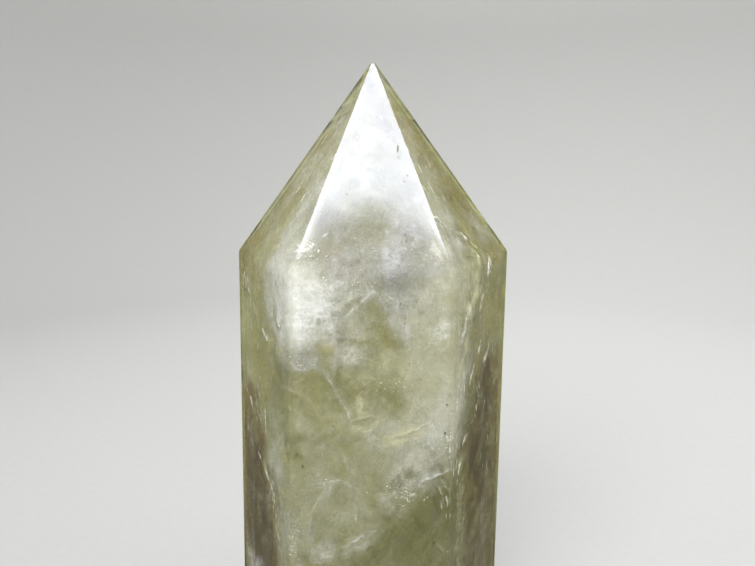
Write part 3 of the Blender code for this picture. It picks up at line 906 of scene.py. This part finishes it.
random = np.random.default_rng(41)
places, sizes, turns = [], [], []
for number, (face, count, length, width, spread, line) in enumerate(SLIVER_RUNS):
    path = smooth_path(line, 200)
    at = random.integers(0, 199, count)
    facing = FRONT if face[1] < 0 else BACK
    run = under(face, path[at + 1], 0.0) - under(face, path[at], 0.0)
    heading = np.arctan2(run[:, 2], run @ np.cross((0, 0, 1), facing[:3])) + random.normal(0, 0.1, count)
    flat = path[at] + random.normal(0, spread, (count, 2)) * (1.0, 0.4)
    places.append(under(face, flat * MM, random.uniform(*SLIVER_DEPTHS, count) * MM))
    scale = random.lognormal(0, 0.45, (count, 1))
    sizes.append(scale * (HALF_LENGTH * length, HALF_WIDTH * width, HALF_THICKNESS) * MM)
    turns.append(facing_turns(facing, heading, 0.4, 500 + number))
for number, (face, count, size, spread, middle) in enumerate(CLUSTERS):
    flat = np.array(middle) + random.normal(0, 1, (count, 2)) * spread
    places.append(under(face, flat * MM, random.uniform(*CLUSTER_DEPTHS, count) * MM))
    scale = random.lognormal(-0.2, 0.4, (count, 1))
    sizes.append(scale * (size, size * FLAKE_WIDTH, HALF_THICKNESS) * MM)
    turns.append(facing_turns(face, random.uniform(0, math.pi, count), 0.6, 600 + number))
places, sizes, turns = (np.concatenate(parts) for parts in (places, sizes, turns))
glints = flakes("crack_glints", *clear_of_faces(places, sizes, turns))
glints.data.materials.append(crack_glint())
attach(glints, "root")

# ----------------------------------------
# Dark specks of iron ore, as fine as ground pepper, that grew in with the quartz.

SPECKS = (  # face, count, size in mm, spread in mm, and the place across the face and up it
    (FRONT, 1, 0.50, (0.0, 0.0), (13.4, 67.5)),
    (FRONT, 1, 0.42, (0.0, 0.0), (13.2, 62.5)),
    (FRONT, 1, 0.40, (0.0, 0.0), (-10.6, 56.5)),
    (FRONT, 2, 0.38, (0.3, 0.1), (11.5, 42.2)),
    (FRONT, 2, 0.26, (0.3, 0.3), (5.6, 84.4)),
    (FRONT, 3, 0.24, (0.3, 0.4), (6.4, 81.4)),
    (FRONT, 30, 0.09, (6.0, 12.0), (2.0, 70.0)),
    (FRONT, 24, 0.08, (3.5, 2.5), (6.0, 56.0)),
    (LEFT, 10, 0.16, (1.2, 1.6), (-10.5, 87.0)),
    (BACK, 24, 0.10, (6.0, 20.0), (0.0, 55.0)),
    (FRONT_TIP, 5, 0.14, (0.15, 1.0), (6.5, 94.6)),
)
LONG, WIDE, THICK = 0.6, 0.45, 0.35  # a speck's half axes, as shares of its size
SPECK_DEPTHS = (0.8, 1.2)  # under their faces, in mm


def mottled(name, scale, detail, dark, light, plain):
    """An opaque material whose colour wanders between two tones by a noise. plain are the
    values of its other sockets."""
    material, tree, output = new_material(name)
    place = add(tree, "TexCoord").outputs["Object"]
    noise = add(tree, "TexNoise", {"Vector": place, "Scale": scale, "Detail": detail})
    tone = add(tree, "Mix", {0: noise.outputs[0], 6: linear(dark), 7: linear(light)}, data_type="RGBA")
    body = add(tree, "BsdfPrincipled", {"Base Color": tone.outputs[2], **plain})
    tree.links.new(body.outputs[0], output.inputs["Surface"])
    return material


def iron_ore():
    """Iron ore: nearly black, with a brown cast and a dull metal shine."""
    return mottled("iron ore", 3000.0, 2.0, "#1E1A14", "#4A3E2E", {"Metallic": 0.3, "Roughness": 0.6})


places, sizes, turns = [], [], []
for number, (face, count, size, spread, middle) in enumerate(SPECKS):
    flat = np.array(middle) + random.normal(0, 1, (count, 2)) * spread
    places.append(under(face, flat * MM, random.uniform(*SPECK_DEPTHS, count) * MM))
    sizes.append(random.lognormal(0, 0.25, (count, 1)) * (size * LONG, size * WIDE, size * THICK) * MM)
    turns.append(facing_turns(face, random.uniform(0, math.pi, count), 0.5, 800 + number))
places, sizes, turns = (np.concatenate(parts) for parts in (places, sizes, turns))
specks = flakes("ore_specks", *clear_of_faces(places, sizes, turns))
specks.data.materials.append(iron_ore())
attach(specks, "root")

# ----------------------------------------
# Pits in the polish: where the wheel plucked out a grain it left a nick, shown as a dull dark grey-brown
# flake lying on the face. The worst is a needle on the front of the tip.

PIT_RISE = 0.012 * MM  # how far the rim of a pit's dark flake stands proud of the face
PIT_HEAP = 0.04 * MM  # and how far its middle stands above its rim
PITS = (  # face, length and width in mm, heading in degrees, and the place
    (FRONT_TIP, 1.8, 0.26, 91, (5.4, 108.8)),
    (FRONT_TIP, 0.6, 0.20, 80, (5.5, 107.6)),
    (FRONT_TIP, 0.36, 0.26, 20, (6.4, 103.6)),
    (FRONT_TIP, 0.30, 0.18, 60, (6.9, 104.5)),
    (FRONT_TIP, 0.18, 0.12, 0, (6.2, 104.1)),
    (FRONT_TIP, 0.9, 0.2, 84, (6.5, 95.4)),
    (FRONT_TIP, 0.6, 0.18, 100, (6.6, 94.3)),
    (FRONT_TIP, 0.2, 0.14, 0, (-3.1, 101.6)),
    (FRONT_TIP, 0.16, 0.12, 0, (0.8, 112.8)),
    (LEFT_TIP, 0.5, 0.12, 60, (2.0, 104.0)),
    (RIGHT_TIP, 0.4, 0.12, 120, (-1.0, 101.0)),
    (RIGHT_BACK, 0.8, 0.14, 85, (3.0, 71.0)),
    (LEFT_BACK, 0.6, 0.14, 88, (4.0, 38.0)),
)


def dark_pit_material():
    """Dull and dark grey-brown, for the nicks."""
    return mottled("dark pit flake", 6000.0, 2.0, "#35322B", "#58544A", {"Roughness": 0.9})


places, sizes, turns = [], [], []
for number, (face, length, width, heading, middle) in enumerate(PITS):
    places.append(under(face, np.array([middle]) * MM, np.array([-PIT_RISE])))
    sizes.append(np.array([(length / 2 * MM, width / 2 * MM, PIT_HEAP)]))
    turns.append(facing_turns(face, np.radians([heading]), 0.0, 900 + number))
pits = flakes("polish_pits", *(np.concatenate(parts) for parts in (places, sizes, turns)))
pits.data.materials.append(dark_pit_material())
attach(pits, "root")

# ----------------------------------------
# The studio: a pale paper floor that curves up into a round wall, soft lights in front, overhead, at the side
# and behind, a painted reflection of the overhead light's cloth, and dim air. None of it belongs to the
# crystal.

FLOOR_RADIUS = 0.62
WALL_HEIGHT = 0.8
BEND = 0.25  # the radius of the curve from floor to wall
FLOOR_RINGS, BEND_RINGS, FLOOR_SPOKES = 7, 24, 96


def paper_sweep():
    """A profile turned about Z: flat floor, a quarter round and an upright wall."""
    turn = np.linspace(0, math.pi / 2, BEND_RINGS)
    flat = FLOOR_RADIUS - BEND
    floor_rings = np.linspace(0, flat, FLOOR_RINGS + 1)[:-1]
    out = np.concatenate([floor_rings, flat + BEND * np.sin(turn), [FLOOR_RADIUS]])
    up = np.concatenate([np.zeros(FLOOR_RINGS), BEND * (1 - np.cos(turn)), [WALL_HEIGHT]])
    round_ = np.linspace(0, 2 * math.pi, FLOOR_SPOKES, endpoint=False)
    return np.stack([out[:, None] * np.cos(round_), out[:, None] * np.sin(round_),
                     np.broadcast_to(up[:, None], (len(up), FLOOR_SPOKES))], axis=-1)


def matt_paper():
    """Matt pale grey paper, which throws no highlight."""
    return mottled("matt studio paper", 400.0, 4.0, "#8E8E8C", "#939391",
                   {"Roughness": 0.95, "Specular IOR Level": 0.1})


floor = surface("studio_floor", paper_sweep())
floor.data.materials.append(matt_paper())
floor.visible_glossy = False  # so the polish mirrors the dim air and not the pale paper


def soft_light(name, place, aim, width, height, power):
    """A rectangular soft box at place, facing aim. It lights the stone and the paper."""
    lamp = bpy.data.lights.new(name, "AREA")
    lamp.shape = "RECTANGLE"
    lamp.size, lamp.size_y = width, height
    lamp.energy = power
    box = bpy.data.objects.new(name, lamp)
    box.location = place
    box.rotation_euler = (Vector(place) - Vector(aim)).to_track_quat("Z", "Y").to_euler()
    box.visible_transmission = False
    box.visible_glossy = False
    box.visible_camera = False
    bpy.context.collection.objects.link(box)


soft_light("front_light", (-0.20, -0.42, 0.45), (0, 0, 0.07), 0.35, 0.35, 5.3)
soft_light("overhead_light", (0.0, -0.02, 0.62), (0, 0, 0), 0.4, 0.4, 1.2)
soft_light("side_light", (0.46, -0.08, 0.24), (0, 0, 0.06), 0.3, 0.3, 1.3)
soft_light("back_light", (0.15, 0.36, 0.58), (0, 0, 0.06), 0.35, 0.35, 6.5)

# The overhead cloth is a painted reflection: a glowing disc seen only in mirror reflections, which lights
# nothing. Its round shade is a painted shadow in that glow.
CLOTH_HEIGHT = 0.5
CLOTH_RADIUS = 0.30
PAINTED_SHADE_MIDDLE = (-0.003, -0.300)
PAINTED_SHADE_RADIUS = 0.066
SOFT_EDGE = 0.014
RIM_FADE = 0.03
CLOTH_POWER = 14.5
WORLD_LOW, WORLD_HIGH = 0.15, 0.5  # the air's glow, away from the lights and towards them


def painted_reflection_disc():
    """A painted reflection of the overhead light's white cloth: a disc that glows only where a polished face
    mirrors it, and lights nothing. It glows evenly, fades at its rim, and has a painted shadow at its front
    edge, as if a round shade hung before it."""
    out = np.linspace(0, CLOTH_RADIUS, 90)[::-1, None]
    round_ = np.linspace(0, 2 * math.pi, 256, endpoint=False)[None]
    up = np.full((len(out), round_.size), CLOTH_HEIGHT)
    cloth = surface("overhead_painted_reflection", np.stack([out * np.cos(round_), out * np.sin(round_), up], axis=-1))
    spots = vertices(cloth)
    rim = CLOTH_RADIUS - np.linalg.norm(spots[:, :2], axis=1)
    painted_shade = np.linalg.norm(spots[:, :2] - np.array(PAINTED_SHADE_MIDDLE), axis=1) - PAINTED_SHADE_RADIUS
    mark(cloth, "glow", np.clip(rim / RIM_FADE, 0, 1) / (1 + np.exp(-painted_shade / (SOFT_EDGE / 2))))
    material, tree, output = new_material("painted reflection glow")
    glow = add(tree, "Attribute", attribute_name="glow").outputs["Fac"]
    power = add(tree, "Math", {0: glow, 1: CLOTH_POWER}, operation="MULTIPLY")
    light = add(tree, "Emission", {"Color": linear("#DEE2FF"), "Strength": power.outputs[0]})
    tree.links.new(light.outputs[0], output.inputs["Surface"])
    cloth.data.materials.append(material)
    # Only mirror reflections see the disc: it is a painted reflection and lights nothing.
    cloth.visible_camera = cloth.visible_diffuse = cloth.visible_transmission = cloth.visible_shadow = False
    return cloth


painted_reflection_disc()

world = bpy.data.worlds.new("studio air")
bpy.context.scene.world = world
world.use_nodes = True
air = world.node_tree
heading = add(air, "TexCoord").outputs["Generated"]
toward = add(air, "VectorMath", {0: heading, 1: (-0.28, -0.62, 0.73)}, operation="DOT_PRODUCT")
lit_share = add(air, "MapRange", {"Value": toward.outputs["Value"], "From Min": 0.0, "From Max": 0.95,
                                  "To Min": WORLD_LOW, "To Max": WORLD_HIGH}, interpolation_type="SMOOTHSTEP")
air.links.new(lit_share.outputs[0], air.nodes["Background"].inputs["Strength"])
air.nodes["Background"].inputs["Color"].default_value = linear("#F2F5FA")

# ----------------------------------------
# The camera, a little above the tip's height and close to the crystal.

lens = bpy.data.cameras.new("camera")
lens.sensor_width = 36.0
lens.sensor_fit = "HORIZONTAL"
lens.lens = 29.0
lens.clip_start = 0.005
camera = bpy.data.objects.new("camera", lens)
camera.location = (1.952 * MM, -116.682 * MM, 106.804 * MM)
camera.rotation_euler = (math.radians(90 - 11.286), 0, 0)
bpy.context.collection.objects.link(camera)
bpy.context.scene.camera = camera
bpy.context.scene.view_settings.view_transform = "Standard"
bpy.context.scene.cycles.max_bounces = 18
bpy.context.scene.cycles.transmission_bounces = 18
bpy.context.scene.cycles.glossy_bounces = 8
bpy.context.scene.cycles.transparent_max_bounces = 40
